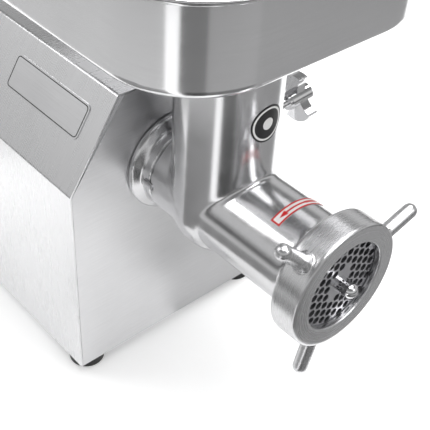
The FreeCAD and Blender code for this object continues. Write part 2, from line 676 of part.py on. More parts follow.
def rubber_feet():
    """Four tapered rubber feet with a pocket for the screw head."""
    feet = []
    for x, y in foot_places():
        cone = Part.makeCone(FOOT_RADIUS - FOOT_TAPER, FOOT_RADIUS, FOOT_HEIGHT, Vector(x, y, FLOOR_Z))
        cone = cone.makeFillet(1.5, bottom_edges(cone, FLOOR_Z))
        pocket = post(2.5 * FOOT_SCREW_RADIUS, x, y, FLOOR_Z - 1, FLOOR_Z + 0.5 * FOOT_HEIGHT)
        bore = post(FOOT_SCREW_RADIUS + 0.1, x, y, FLOOR_Z, CASE_BOTTOM + 1)
        feet.append(cone.cut([pocket, bore]))
    return group(feet)


def foot_screws():
    """Screws that hold the feet to the base."""
    screws = []
    seat = FLOOR_Z + 0.5 * FOOT_HEIGHT
    for x, y in foot_places():
        head = post(2.0 * FOOT_SCREW_RADIUS, x, y, seat - 3.0, seat)
        shank = post(FOOT_SCREW_RADIUS, x, y, seat - 1, CASE_BOTTOM + BASE_SHEET + 6)
        screws.append(head.fuse(shank))
    return group(screws)


def foot_nuts():
    """Nuts on the feet's screws, inside the base."""
    nuts = []
    for x, y in foot_places():
        nut = hexagon(10.0, 0, 5.0, 0, 0)
        nut.rotate(Vector(0, 0, 0), Vector(1, 0, 0), 90)
        nut.translate(Vector(x, y, CASE_BOTTOM + BASE_SHEET))
        nuts.append(nut.cut(post(FOOT_SCREW_RADIUS, x, y, CASE_BOTTOM, CASE_BOTTOM + 20)))
    return group(nuts)


def nameplate():
    """Blank plate with round corners on the slanted left face."""
    half = 0.5 * NAMEPLATE_WIDTH
    y0 = CASE_FRONT_Y + NAMEPLATE_START
    sheet = block(NAMEPLATE_RISE - half, NAMEPLATE_RISE + half, y0, y0 + NAMEPLATE_LENGTH,
                  0, NAMEPLATE_THICKNESS)
    corners = edges_along(sheet, Vector(0, 0, 1), lambda middle: True)
    return nameplate_frame(sheet.makeFillet(NAMEPLATE_CORNER, corners))


# ---- Head socket and clamp

def clamp_direction():
    """Unit vector from the barrel axis towards the clamp knob."""
    tilt = math.radians(CLAMP_TILT)
    return Vector(math.cos(tilt), 0, math.sin(tilt))


def clamp_rod(radius, near, far):
    """Cylinder on the clamp screw's axis between two distances from the barrel axis."""
    outward = clamp_direction()
    return Part.makeCylinder(radius, far - near, Vector(0, CLAMP_Y, 0) + outward * near, outward)


def head_socket():
    """Cast nose that the head's shank slides into, with a boss for the clamp screw."""
    collar = SHANK_COLLAR_RADIUS
    base = CASE_FRONT_Y - SOCKET_BASE_LENGTH
    profile = [(0, SEAM_Y), (collar, SEAM_Y), (collar, base - SOCKET_FLARE),
               (SOCKET_BASE_RADIUS, base), (SOCKET_BASE_RADIUS, CASE_FRONT_Y),
               (collar + 0.5, CASE_FRONT_Y), (collar + 0.5, SOCKET_BACK), (0, SOCKET_BACK)]
    boss = clamp_rod(CLAMP_BOSS_RADIUS, SHANK_RADIUS + 3, CLAMP_BOSS_REACH)
    solid = fused([turned(profile), boss])
    cuts = [rod(SHANK_RADIUS + RUNNING, SEAM_Y - 1, SOCKET_BACK + 1)]
    cuts.append(clamp_rod(CLAMP_SCREW_RADIUS + CLEAR, SHANK_RADIUS - 2, CLAMP_BOSS_REACH + 1))
    cuts.append(rod(SOCKET_PIN_RADIUS, SEAM_Y - 1, SEAM_Y + 6, -collar, 0))
    return solid.cut(cuts)


def socket_pin():
    """Small pin across the seam that keeps the neck upright."""
    return rod(SOCKET_PIN_RADIUS, HEAD_BACK - 4, SEAM_Y + 6, -SHANK_COLLAR_RADIUS, 0)


def clamp_pad():
    """Loose pad between the clamp screw and the shank."""
    near = SHANK_RADIUS + 0.4
    return clamp_rod(CLAMP_SCREW_RADIUS, near, near + CLAMP_PAD_LENGTH)


def clamp_screw():
    """Long clamp screw with a fillister collar under the knob."""
    near = SHANK_RADIUS + 0.4 + CLAMP_PAD_LENGTH + CLEAR
    hub_start = KNOB_DISTANCE - 0.5 * KNOB_HUB_LENGTH
    shaft = clamp_rod(CLAMP_SCREW_RADIUS, near, KNOB_DISTANCE)
    collar = clamp_rod(KNOB_HUB_RADIUS - 1.0, hub_start - 3.0, hub_start)
    return shaft.fuse(collar)


def clamp_knob():
    """Wing knob: a round plate with two deep bites, on a hub."""
    thin = 0.5 * KNOB_THICKNESS
    disc = Part.makeCylinder(KNOB_RADIUS, KNOB_THICKNESS, Vector(-thin, 0, 0), Vector(1, 0, 0))
    bites = []
    for side in (0, 180):
        turn = math.radians(180 - KNOB_TURN + side)
        y = KNOB_BITE_DISTANCE * math.cos(turn)
        z = KNOB_BITE_DISTANCE * math.sin(turn)
        bites.append(cross_rod(KNOB_BITE_RADIUS, -thin - 1, thin + 1, y, z))
    wings = disc.cut(bites)
    half = 0.5 * KNOB_HUB_LENGTH
    hub = cross_rod(KNOB_HUB_RADIUS, -half, half, 0, 0)
    knob = wings.fuse(hub)
    knob.rotate(Vector(0, 0, 0), Y_AXIS, -CLAMP_TILT)
    knob.translate(Vector(0, CLAMP_Y, 0) + clamp_direction() * KNOB_DISTANCE)
    return knob.cut(clamp_rod(CLAMP_SCREW_RADIUS, 0, KNOB_DISTANCE))


# ---- Gears

def involute(angle):
    """Involute function."""
    return math.tan(angle) - angle


def gear(teeth, module, bore, y0, y1, x, z, facing, gap_faces):
    """Spur gear whose tooth, or tooth gap, faces a direction given in radians from +X."""
    pitch = 0.5 * teeth * module
    base = pitch * math.cos(PRESSURE_ANGLE)
    tip = pitch + TOOTH_ADDENDUM * module
    root = pitch - TOOTH_DEDENDUM * module
    half = math.pi / (2 * teeth) - 0.25 * TOOTH_BACKLASH / pitch + involute(PRESSURE_ANGLE)
    flank = [(root, half)] if root < base else []
    for radius in (max(base, root), pitch, tip):
        flank.append((radius, half - involute(math.acos(min(1.0, base / radius)))))
    step = 2 * math.pi / teeth
    start = facing + (0.5 * step if gap_faces else 0.0)
    outline = []
    for tooth in range(teeth):
        middle = start + tooth * step
        outline += [(r, middle - a) for r, a in flank]
        outline += [(r, middle + a) for r, a in reversed(flank)]
    corners = [(x + r * math.cos(a), z + r * math.sin(a)) for r, a in outline]
    return prism(corners, y0, y1).cut(rod(bore, y0 - 1, y1 + 1, x, z))


def output_gear():
    """Large gear on the output shaft."""
    towards_lay = math.atan2(LAY_Z, LAY_X)
    return gear(OUTPUT_GEAR_TEETH, SECOND_MODULE, OUTPUT_SHAFT_RADIUS, SECOND_START, SECOND_END,
                0, 0, towards_lay, True)


def layshaft_pinion():
    """Small gear on the layshaft, in mesh with the output gear."""
    towards_output = math.atan2(-LAY_Z, -LAY_X)
    return gear(LAY_PINION_TEETH, SECOND_MODULE, LAY_SHAFT_RADIUS, SECOND_START, SECOND_END,
                LAY_X, LAY_Z, towards_output, False)


def layshaft_gear():
    """Large gear on the layshaft, driven by the motor pinion."""
    towards_motor = math.atan2(MOTOR_Z - LAY_Z, MOTOR_X - LAY_X)
    return gear(LAY_GEAR_TEETH, FIRST_MODULE, LAY_SHAFT_RADIUS, FIRST_START, FIRST_END,
                LAY_X, LAY_Z, towards_motor, True)


def motor_pinion():
    """Pinion on the motor shaft."""
    towards_lay = math.atan2(LAY_Z - MOTOR_Z, LAY_X - MOTOR_X)
    return gear(MOTOR_PINION_TEETH, FIRST_MODULE, MOTOR_SHAFT_RADIUS, FIRST_START, FIRST_END,
                MOTOR_X, MOTOR_Z, towards_lay, False)


def output_shaft():
    """Output shaft with a slotted front end for the auger's tang."""
    front = rod(OUTPUT_FRONT_RADIUS, SHAFT_FRONT, GEARBOX_INSIDE + 1)
    back = rod(OUTPUT_SHAFT_RADIUS, GEARBOX_INSIDE, COVER_BACK - 2)
    slot = block(-0.5 * TANG_WIDTH - CLEAR, 0.5 * TANG_WIDTH + CLEAR, SHAFT_FRONT - 1, TANG_BACK + CLEAR,
                 -0.5 * TANG_HEIGHT - CLEAR, 0.5 * TANG_HEIGHT + CLEAR)
    return fused([front, back]).cut(slot)


def layshaft():
    """Shaft between the two gear stages."""
    return rod(LAY_SHAFT_RADIUS, GEARBOX_FRONT + 4, COVER_BACK - 2, LAY_X, LAY_Z)


# ---- Gearbox

def gearbox_outline(inset):
    """Front view of the gearbox, cornered off under the casing's slanted face."""
    slant_x = GEARBOX_RIGHT - CASE_HALF_WIDTH + CASE_TOP_HALF_WIDTH + 13.0
    lean = math.atan2(GEARBOX_RIGHT - slant_x, GEARBOX_TOP + 5.0)
    low_shift = inset * math.tan(0.5 * lean)
    top_shift = inset * math.tan(0.5 * (0.5 * math.pi - lean))
    return [(GEARBOX_LEFT + inset, GEARBOX_BOTTOM + inset), (GEARBOX_RIGHT - inset, GEARBOX_BOTTOM + inset),
            (GEARBOX_RIGHT - inset, -5.0 - low_shift), (slant_x - top_shift, GEARBOX_TOP - inset),
            (GEARBOX_LEFT + inset, GEARBOX_TOP - inset)]


def cover_screw_places():
    """(x, z) of the screws through the gearbox cover."""
    return gearbox_outline(0.5 * GEARBOX_WALL)


def gearbox_case():
    """Gearbox casting, open at the back, with seats for the seal and the front bearings."""
    outer = prism(gearbox_outline(0.0), GEARBOX_FRONT, GEARBOX_BACK)
    hollow = prism(gearbox_outline(GEARBOX_WALL), GEARBOX_INSIDE, GEARBOX_BACK + 1)
    cuts = [hollow, rod(OUTPUT_FRONT_RADIUS + BEARING_WALL, GEARBOX_FRONT - 1, GEARBOX_INSIDE + 1)]
    cuts.append(rod(LAY_SHAFT_RADIUS + BEARING_WALL, GEARBOX_FRONT + 4, GEARBOX_INSIDE + 1, LAY_X, LAY_Z))
    for x, z in cover_screw_places():
        cuts.append(rod(1.6, GEARBOX_BACK - 14, GEARBOX_BACK + 1, x, z))
    return outer.cut(cuts)


def cover_gasket():
    """Gasket between the gearbox and its cover."""
    sheet = prism(gearbox_outline(0.0), GEARBOX_BACK, COVER_FRONT)
    hollow = prism(gearbox_outline(GEARBOX_WALL), GEARBOX_BACK - 1, COVER_FRONT + 1)
    holes = [rod(1.6, GEARBOX_BACK - 1, COVER_FRONT + 1, x, z) for x, z in cover_screw_places()]
    return sheet.cut([hollow] + holes)


def gearbox_cover():
    """Back plate of the gearbox, with seats for the rear bearings; the motor bolts onto it."""
    sheet = prism(gearbox_outline(0.0), COVER_FRONT, COVER_BACK)
    blind = COVER_BACK - 1.5
    cuts = [rod(OUTPUT_SHAFT_RADIUS + BEARING_WALL, COVER_FRONT - 1, blind)]
    cuts.append(rod(LAY_SHAFT_RADIUS + BEARING_WALL, COVER_FRONT - 1, blind, LAY_X, LAY_Z))
    cuts.append(rod(MOTOR_SHAFT_RADIUS + BEARING_WALL, COVER_FRONT - 1, COVER_BACK + 1, MOTOR_X, MOTOR_Z))
    cuts += [rod(1.6, COVER_FRONT - 1, COVER_BACK + 1, x, z) for x, z in cover_screw_places()]
    pad = rod(MOTOR_RADIUS, COVER_BACK - 3, COVER_BACK, MOTOR_X, MOTOR_Z)
    return fused([sheet, pad]).cut(cuts)


def cover_screws():
    """Screws of the gearbox cover."""
    screws = []
    for x, z in cover_screw_places():
        head = rod(2.4, COVER_BACK, COVER_BACK + 3, x, z)
        screws.append(head.fuse(rod(1.5, GEARBOX_BACK - 12, COVER_BACK + 1, x, z)))
    return group(screws)


def bearing(shaft_radius, seat_radius, y0, y1, x, z):
    """Sealed bearing: two rings and the shield between them in one piece, grooved on both faces."""
    ring = tube(seat_radius, shaft_radius + RUNNING, y0, y1, x, z)
    wall = seat_radius - shaft_radius
    groove_out = seat_radius - 0.3 * wall
    groove_in = shaft_radius + 0.3 * wall
    near = tube(groove_out, groove_in, y0 - 1, y0 + 0.8, x, z)
    far = tube(groove_out, groove_in, y1 - 0.8, y1 + 1, x, z)
    return ring.cut([near, far])


def output_bearings():
    """Front and rear bearings of the output shaft."""
    front_seat = OUTPUT_FRONT_RADIUS + BEARING_WALL
    back_seat = OUTPUT_SHAFT_RADIUS + BEARING_WALL
    front = bearing(OUTPUT_FRONT_RADIUS, front_seat, GEARBOX_FRONT + SEAL_LENGTH + 0.5, GEARBOX_INSIDE, 0, 0)
    back = bearing(OUTPUT_SHAFT_RADIUS, back_seat, COVER_FRONT, COVER_BACK - 1.5, 0, 0)
    return group([front, back])


def layshaft_bearings():
    """Front and rear bearings of the layshaft."""
    seat = LAY_SHAFT_RADIUS + BEARING_WALL
    front = bearing(LAY_SHAFT_RADIUS, seat, GEARBOX_FRONT + 4, GEARBOX_INSIDE, LAY_X, LAY_Z)
    back = bearing(LAY_SHAFT_RADIUS, seat, COVER_FRONT, COVER_BACK - 1.5, LAY_X, LAY_Z)
    return group([front, back])


def motor_bearings():
    """Bearings in the gearbox cover and in the motor's end shield."""
    seat = MOTOR_SHAFT_RADIUS + BEARING_WALL
    front = bearing(MOTOR_SHAFT_RADIUS, seat, COVER_FRONT, COVER_BACK, MOTOR_X, MOTOR_Z)
    back = bearing(MOTOR_SHAFT_RADIUS, seat, MOTOR_BACK, SHIELD_BACK, MOTOR_X, MOTOR_Z)
    return group([front, back])


def shaft_seal():
    """Lip seal in front of the output shaft's bearing."""
    seat = OUTPUT_FRONT_RADIUS + BEARING_WALL
    ring = tube(seat, OUTPUT_FRONT_RADIUS + RUNNING, GEARBOX_FRONT, GEARBOX_FRONT + SEAL_LENGTH)
    groove = tube(seat - 2.5, OUTPUT_FRONT_RADIUS + 2.0, GEARBOX_FRONT + 1.5, GEARBOX_FRONT + SEAL_LENGTH + 1)
    return ring.cut(groove)


def gearbox_stand():
    """Bent bracket between the base and the gearbox."""
    floor = CASE_BOTTOM + BASE_SHEET
    y0 = GEARBOX_FRONT + 8.0
    y1 = GEARBOX_BACK - 8.0
    wall = 3.0
    left = GEARBOX_LEFT + 12.0
    right = GEARBOX_RIGHT - 25.0
    outer = block(left, right, y0, y1, floor, GEARBOX_BOTTOM)
    hollow = block(left + wall, right - wall, y0 - 1, y1 + 1, floor + wall, GEARBOX_BOTTOM - wall)
    return outer.cut(hollow)


# ---- Motor

def motor_shell():
    """Motor casing with cooling ribs."""
    shell = [tube(MOTOR_RADIUS, MOTOR_RADIUS - MOTOR_WALL, COVER_BACK, MOTOR_BACK, MOTOR_X, MOTOR_Z)]
    for index in range(6):
        y0 = COVER_BACK + 14.0 + index * 14.0
        shell.append(tube(MOTOR_RADIUS + 2.5, MOTOR_RADIUS - 1, y0, y0 + 3.0, MOTOR_X, MOTOR_Z))
    return fused(shell)


def stator_core():
    """Stator laminations."""
    outer = MOTOR_RADIUS - MOTOR_WALL
    return tube(outer, ROTOR_RADIUS + AIR_GAP, STATOR_FRONT, STATOR_BACK, MOTOR_X, MOTOR_Z)


def stator_windings():
    """End turns of the windings at both ends of the laminations."""
    outer = MOTOR_RADIUS - MOTOR_WALL - 3.0
    inner = ROTOR_RADIUS + 5.0
    ends = []
    for y0 in (STATOR_FRONT - WINDING_LENGTH, STATOR_BACK):
        ring = tube(outer, inner, y0, y0 + WINDING_LENGTH, MOTOR_X, MOTOR_Z)
        ends.append(ring.makeFillet(3.0, [e for e in ring.Edges if e.Closed]))
    return group(ends)


def motor_end_shield():
    """Rear end of the motor, with the bearing seat."""
    disc = rod(MOTOR_RADIUS, MOTOR_BACK, SHIELD_BACK, MOTOR_X, MOTOR_Z)
    return disc.cut(rod(MOTOR_SHAFT_RADIUS + BEARING_WALL, MOTOR_BACK - 1, SHIELD_BACK + 1, MOTOR_X, MOTOR_Z))


def fan_cowl():
    """Sheet cowl over the fan, with a ring of air slots."""
    back = SHIELD_BACK + COWL_LENGTH
    cup = rod(MOTOR_RADIUS - 2, SHIELD_BACK, back, MOTOR_X, MOTOR_Z)
    hollow = rod(MOTOR_RADIUS - 2 - COWL_WALL, SHIELD_BACK - 1, back - COWL_WALL, MOTOR_X, MOTOR_Z)
    cuts = [hollow]
    for index in range(10):
        angle = math.radians(36.0 * index)
        x = MOTOR_X + 34.0 * math.cos(angle)
        z = MOTOR_Z + 34.0 * math.sin(angle)
        cuts.append(rod(6.0, back - 4, back + 1, x, z))
    return cup.cut(cuts)


def motor_cradle():
    """Saddle under the motor, screwed to the base."""
    floor = CASE_BOTTOM + BASE_SHEET
    saddle = block(-45, 45, STATOR_FRONT, STATOR_BACK, floor, MOTOR_Z - 30)
    seat = rod(MOTOR_RADIUS + 2.5, STATOR_FRONT - 1, STATOR_BACK + 1, MOTOR_X, MOTOR_Z)
    window = block(-30, 30, STATOR_FRONT - 1, STATOR_BACK + 1, floor + 4, MOTOR_Z - MOTOR_RADIUS - 8)
    return saddle.cut([seat, window])


def motor_shaft():
    """Motor shaft, from the pinion to the fan."""
    return rod(MOTOR_SHAFT_RADIUS, FIRST_START - 2, FAN_FRONT + FAN_LENGTH, MOTOR_X, MOTOR_Z)


def rotor_core():
    """Rotor laminations."""
    return tube(ROTOR_RADIUS, MOTOR_SHAFT_RADIUS, STATOR_FRONT, STATOR_BACK, MOTOR_X, MOTOR_Z)


def cooling_fan():
    """Radial fan on the end of the motor shaft."""
    back = FAN_FRONT + FAN_LENGTH
    parts = [rod(FAN_RADIUS, FAN_FRONT, FAN_FRONT + 2), rod(MOTOR_SHAFT_RADIUS + 5, FAN_FRONT, back)]
    for index in range(FAN_BLADES):
        blade = block(MOTOR_SHAFT_RADIUS + 4, FAN_RADIUS - 1, FAN_FRONT, back, -1, 1)
        blade.rotate(Vector(0, 0, 0), Y_AXIS, index * 360.0 / FAN_BLADES)
        parts.append(blade)
    wheel = fused(parts).cut(rod(MOTOR_SHAFT_RADIUS, FAN_FRONT - 1, back + 1))
    wheel.translate(Vector(MOTOR_X, 0, MOTOR_Z))
    return wheel


def capacitor_height():
    """Height of the capacitor's axis above the motor."""
    return MOTOR_Z + MOTOR_RADIUS + CAPACITOR_LIFT + CAPACITOR_RADIUS


def run_capacitor():
    """Capacitor can with its terminal cap."""
    z = capacitor_height()
    front = COVER_BACK + 8
    back = front + CAPACITOR_LENGTH
    can = rod(CAPACITOR_RADIUS, front, back, 0, z)
    return can.fuse(rod(0.6 * CAPACITOR_RADIUS, back - 1, back + 8, 0, z))


def capacitor_clip():
    """Band round the capacitor with a foot on the motor casing."""
    z = capacitor_height()
    y0 = COVER_BACK + 32.0
    y1 = y0 + 9.0
    band = tube(CAPACITOR_RADIUS + 2, CAPACITOR_RADIUS, y0, y1, 0, z)
    foot = block(-9, 9, y0, y1, MOTOR_Z + MOTOR_RADIUS - 4, z - CAPACITOR_RADIUS - 0.5)
    saddle = rod(MOTOR_RADIUS, y0 - 1, y1 + 1, MOTOR_X, MOTOR_Z)
    return fused([band, foot.cut(rod(CAPACITOR_RADIUS, y0 - 1, y1 + 1, 0, z))]).cut(saddle)


# ---- Switch and mains inlet

def button_heights():
    """Heights of the start and stop buttons."""
    return SWITCH_Z + 0.5 * SWITCH_SPACING, SWITCH_Z - 0.5 * SWITCH_SPACING


def switch_bezel():
    """Surround of the two push buttons, with a guide sleeve for each."""
    outside = CASE_RIGHT
    face = outside + BEZEL_THICKNESS
    plate = block(outside, face, SWITCH_Y - 0.5 * BEZEL_WIDTH, SWITCH_Y + 0.5 * BEZEL_WIDTH,
                  SWITCH_Z - 0.5 * BEZEL_HEIGHT, SWITCH_Z + 0.5 * BEZEL_HEIGHT)
    plate = plate.makeFillet(8.0, edges_along(plate, Vector(1, 0, 0), lambda middle: True))
    plate = plate.makeFillet(1.2, [e for e in plate.Edges if e.BoundBox.XMin > face - 1e-6])
    bore = BUTTON_RADIUS + LOOSE
    inside = outside - SHEET - BUTTON_TRAVEL - 4.0
    sleeves = []
    cuts = []
    for z in button_heights():
        sleeves.append(cross_rod(bore + SLEEVE_WALL, inside, outside + 1, SWITCH_Y, z))
        cuts.append(cross_rod(bore, inside - 1, face + 1, SWITCH_Y, z))
    return fused([plate] + sleeves).cut(cuts)


def switch_block():
    """Contact block behind the buttons."""
    face = CASE_RIGHT - SHEET - BUTTON_TRAVEL - 4.0
    return block(face - SWITCH_BLOCK_DEPTH, face, SWITCH_Y - 0.4 * BEZEL_WIDTH, SWITCH_Y + 0.4 * BEZEL_WIDTH,
                 SWITCH_Z - 0.42 * BEZEL_HEIGHT, SWITCH_Z + 0.42 * BEZEL_HEIGHT)


def push_button(z, crown):
    """Push button whose crown stands proud of the bezel."""
    start = CASE_RIGHT - SHEET - 3.5
    end = CASE_RIGHT + BEZEL_THICKNESS + crown
    button = cross_rod(BUTTON_RADIUS, start, end, SWITCH_Y, z)
    return button.makeFillet(1.5, [e for e in button.Edges if e.BoundBox.XMin > end - 1e-6])


def cable_gland():
    """Cable gland through the rear panel, with its sealing dome."""
    x = GLAND_X
    z = GLAND_Z
    inside = CASE_BACK_Y - SHEET - 12.0
    thread = rod(GLAND_THREAD_RADIUS, inside, CASE_BACK_Y + 1, x, z)
    body = hexagon(GLAND_HEX, CASE_BACK_Y, CASE_BACK_Y + 8.0, x, z)
    dome = Part.makeCone(0.5 * GLAND_HEX - 0.5, GLAND_BORE + 3.0, GLAND_LENGTH - 12.0,
                         Vector(x, CASE_BACK_Y + 7.0, z), Y_AXIS)
    bore = rod(GLAND_BORE, inside - 1, CASE_BACK_Y + GLAND_LENGTH, x, z)
    return fused([thread, body, dome]).cut(bore)


def gland_nut():
    """Lock nut of the cable gland, inside the rear panel."""
    back = CASE_BACK_Y - SHEET
    nut = hexagon(GLAND_HEX, back - 5.0, back, GLAND_X, GLAND_Z)
    return nut.cut(rod(GLAND_THREAD_RADIUS, back - 6, back + 1, GLAND_X, GLAND_Z))


# ---- The whole machine

def build_nodes():
    """Every piece, by its node name."""
    start_z, stop_z = button_heights()
    return {
        "base_plate": base_plate(),
        "rubber_feet": rubber_feet(),
        "foot_screws": foot_screws(),
        "foot_nuts": foot_nuts(),
        "housing_shell": housing_shell(),
        "front_panel": front_panel(),
        "rear_panel": rear_panel(),
        "rear_screws": rear_screws(),
        "nameplate": nameplate(),
        "head_socket": head_socket(),
        "socket_pin": socket_pin(),
        "gearbox_case": gearbox_case(),
        "cover_gasket": cover_gasket(),
        "gearbox_cover": gearbox_cover(),
        "cover_screws": cover_screws(),
        "gearbox_stand": gearbox_stand(),
        "output_bearings": output_bearings(),
        "layshaft_bearings": layshaft_bearings(),
        "motor_bearings": motor_bearings(),
        "shaft_seal": shaft_seal(),
        "motor_shell": motor_shell(),
        "stator_core": stator_core(),
        "stator_windings": stator_windings(),
        "motor_end_shield": motor_end_shield(),
        "fan_cowl": fan_cowl(),
        "motor_cradle": motor_cradle(),
        "run_capacitor": run_capacitor(),
        "capacitor_clip": capacitor_clip(),
        "switch_bezel": switch_bezel(),
        "switch_block": switch_block(),
        "cable_gland": cable_gland(),
        "gland_nut": gland_nut(),
        "motor_shaft": motor_shaft(),
        "rotor_core": rotor_core(),
        "motor_pinion": motor_pinion(),
        "cooling_fan": cooling_fan(),
        "layshaft": layshaft(),
        "layshaft_gear": layshaft_gear(),
        "layshaft_pinion": layshaft_pinion(),
        "output_shaft": output_shaft(),
        "output_gear": output_gear(),
        "head_casting": head_casting(),
        "plate_pin": plate_pin(),
        "thrust_washer": thrust_washer(),
        "auger": auger(),
        "auger_stud": auger_stud(),
        "cross_knife": cross_knife(),
        "hole_plate": hole_plate(),
        "ring_nut": ring_nut(),
        "ring_lugs": ring_lugs(),
        "feed_tray": feed_tray(),
        "tray_spigot": tray_spigot(),
        "clamp_pad": clamp_pad(),
        "clamp_screw": clamp_screw(),
        "clamp_knob": clamp_knob(),
        "start_button": push_button(start_z, BUTTON_PROUD),
        "stop_button": push_button(stop_z, BUTTON_PROUD + 2.0),
    }


def origin_shift(nodes):
    """Move that puts the bottom centre of the whole machine's box at the origin."""
    box = Part.makeCompound(list(nodes.values())).BoundBox
    return Vector(-box.Center.x, -box.Center.y, -box.ZMin)


def save_all():
    """Write one STEP file per node, in the finished frame."""
    nodes = build_nodes()
    shift = origin_shift(nodes)
    os.makedirs("parts", exist_ok=True)
    for name, shape in nodes.items():
        shape.translate(shift)
        shape.exportStep("parts/" + name + ".step")
    print("origin shift", round(shift.x, 4), round(shift.y, 4), round(shift.z, 4))


save_all()
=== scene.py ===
import json
import math

import bmesh
import bpy
from mathutils import Matrix, Vector
from mathutils.bvhtree import BVHTree


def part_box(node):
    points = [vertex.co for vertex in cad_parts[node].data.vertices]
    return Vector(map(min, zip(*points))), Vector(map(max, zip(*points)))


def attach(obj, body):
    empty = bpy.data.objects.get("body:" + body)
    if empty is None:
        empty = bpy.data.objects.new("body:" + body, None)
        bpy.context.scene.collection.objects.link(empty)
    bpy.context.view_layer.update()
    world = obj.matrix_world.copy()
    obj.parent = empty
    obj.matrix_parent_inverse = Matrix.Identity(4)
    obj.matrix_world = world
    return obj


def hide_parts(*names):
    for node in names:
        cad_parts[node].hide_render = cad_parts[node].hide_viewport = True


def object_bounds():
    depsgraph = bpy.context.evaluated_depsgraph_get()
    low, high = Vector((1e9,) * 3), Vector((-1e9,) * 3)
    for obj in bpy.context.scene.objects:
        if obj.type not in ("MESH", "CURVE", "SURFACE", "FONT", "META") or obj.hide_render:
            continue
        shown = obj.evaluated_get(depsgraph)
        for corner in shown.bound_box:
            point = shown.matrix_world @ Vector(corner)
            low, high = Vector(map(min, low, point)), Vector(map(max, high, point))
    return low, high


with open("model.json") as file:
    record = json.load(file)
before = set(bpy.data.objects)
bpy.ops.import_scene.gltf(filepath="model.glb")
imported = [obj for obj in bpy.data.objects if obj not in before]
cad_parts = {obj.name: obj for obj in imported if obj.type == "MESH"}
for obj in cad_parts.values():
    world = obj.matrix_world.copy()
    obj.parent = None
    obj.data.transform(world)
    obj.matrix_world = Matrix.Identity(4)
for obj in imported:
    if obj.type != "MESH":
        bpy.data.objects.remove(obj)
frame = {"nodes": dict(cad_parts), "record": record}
cad_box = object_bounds()
nodes = frame["nodes"]
scene = bpy.context.scene
scene.view_settings.view_transform = "Standard"


# ---- Places, all taken from the frame

def middle(node):
    """Centre of a CAD node's box."""
    low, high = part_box(node)
    return (low + high) / 2


def touch(node, start, toward):
    """Point where a line from start first meets a CAD node."""
    mesh = nodes[node].data
    tree = BVHTree.FromPolygons([v.co for v in mesh.vertices], [p.vertices for p in mesh.polygons])
    return tree.ray_cast(Vector(start), Vector(toward))[0]


LABEL_SETBACK = 0.0557  # from the ring's face back to the middle of the arrow strip
ROUNDEL_RISE = 0.089  # from the barrel's axis up to the round mark
OUTSIDE = 0.2  # how far out the measuring rays start

AXIS_X = middle("hole_plate").x
AXIS_Z = middle("hole_plate").z
ring_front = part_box("ring_nut")[0].y
neck = middle("tray_spigot")
LABEL_Y = ring_front + LABEL_SETBACK
LABEL_RADIUS = AXIS_X - touch("head_casting", (AXIS_X - OUTSIDE, LABEL_Y, AXIS_Z), (1, 0, 0)).x
ROUNDEL_Z = AXIS_Z + ROUNDEL_RISE
NECK_RADIUS = neck.y - touch("head_casting", (AXIS_X, neck.y - OUTSIDE, ROUNDEL_Z), (0, 1, 0)).y


# ---- Material building blocks

def shader(name):
    """New material, its node tree and its Principled shader."""
    material = bpy.data.materials.new(name)
    material.use_nodes = True
    tree = material.node_tree
    return material, tree, tree.nodes["Principled BSDF"]


def add(tree, kind, **inputs):
    """New node with some of its input values set."""
    node = tree.nodes.new(kind)
    for key, value in inputs.items():
        node.inputs[key.replace("_", " ")].default_value = value
    return node


def ramp(tree, source, low, high, at=(0.3, 0.7)):
    """Map a 0 to 1 signal onto a range."""
    node = tree.nodes.new("ShaderNodeMapRange")
    node.inputs["From Min"].default_value = at[0]
    node.inputs["From Max"].default_value = at[1]
    node.inputs["To Min"].default_value = low
    node.inputs["To Max"].default_value = high
    tree.links.new(source, node.inputs["Value"])
    return node.outputs["Result"]


def math_node(tree, operation, a, b=None):
    """Math node on sockets or numbers."""
    node = tree.nodes.new("ShaderNodeMath")
    node.operation = operation
    for socket, value in zip(node.inputs, (a, b)):
        if value is None:
            continue
        if isinstance(value, (int, float)):
            socket.default_value = value
        else:
            tree.links.new(value, socket)
    return node.outputs[0]


def noise(tree, vector, scale, detail=4.0):
    """Noise texture over a coordinate."""
    node = add(tree, "ShaderNodeTexNoise", Scale=scale, Detail=detail, Roughness=0.6)
    tree.links.new(vector, node.inputs["Vector"])
    return node.outputs["Fac"]


def straight_grain(tree, stretch):
    """Coordinate in metres, squeezed so that noise draws out into lines."""
    place = tree.nodes.new("ShaderNodeTexCoord")
    mapping = add(tree, "ShaderNodeMapping", Scale=stretch)
    tree.links.new(place.outputs["Object"], mapping.inputs["Vector"])
    return place.outputs["Object"], mapping.outputs["Vector"]


def turned_grain(tree, x, z):
    """Coordinate of (radius, y) about an axis along Y, so that noise draws rings."""
    place = tree.nodes.new("ShaderNodeTexCoord")
    split = tree.nodes.new("ShaderNodeSeparateXYZ")
    tree.links.new(place.outputs["Object"], split.inputs[0])
    dx = math_node(tree, "SUBTRACT", split.outputs["X"], x)
    dz = math_node(tree, "SUBTRACT", split.outputs["Z"], z)
    radius = math_node(tree, "SQRT", math_node(tree, "ADD", math_node(tree, "MULTIPLY", dx, dx),
                                               math_node(tree, "MULTIPLY", dz, dz)))
    join = tree.nodes.new("ShaderNodeCombineXYZ")
    tree.links.new(radius, join.inputs["X"])
    tree.links.new(split.outputs["Y"], join.inputs["Y"])
    return place.outputs["Object"], join.outputs[0]


def tint(tree, color, fac, dark):
    """Base colour that varies between the colour and a darker one."""
    node = tree.nodes.new("ShaderNodeMix")
    node.data_type = "RGBA"
    node.inputs["A"].default_value = (*[c * dark for c in color], 1)
    node.inputs["B"].default_value = (*color, 1)
    tree.links.new(fac, node.inputs["Factor"])
    return node.outputs["Result"]


def bump(tree, height, distance, strength=1.0):
    """Bump from a height signal; distance in metres."""
    node = add(tree, "ShaderNodeBump", Strength=strength, Distance=distance)
    tree.links.new(height, node.inputs["Height"])
    return node.outputs["Normal"]


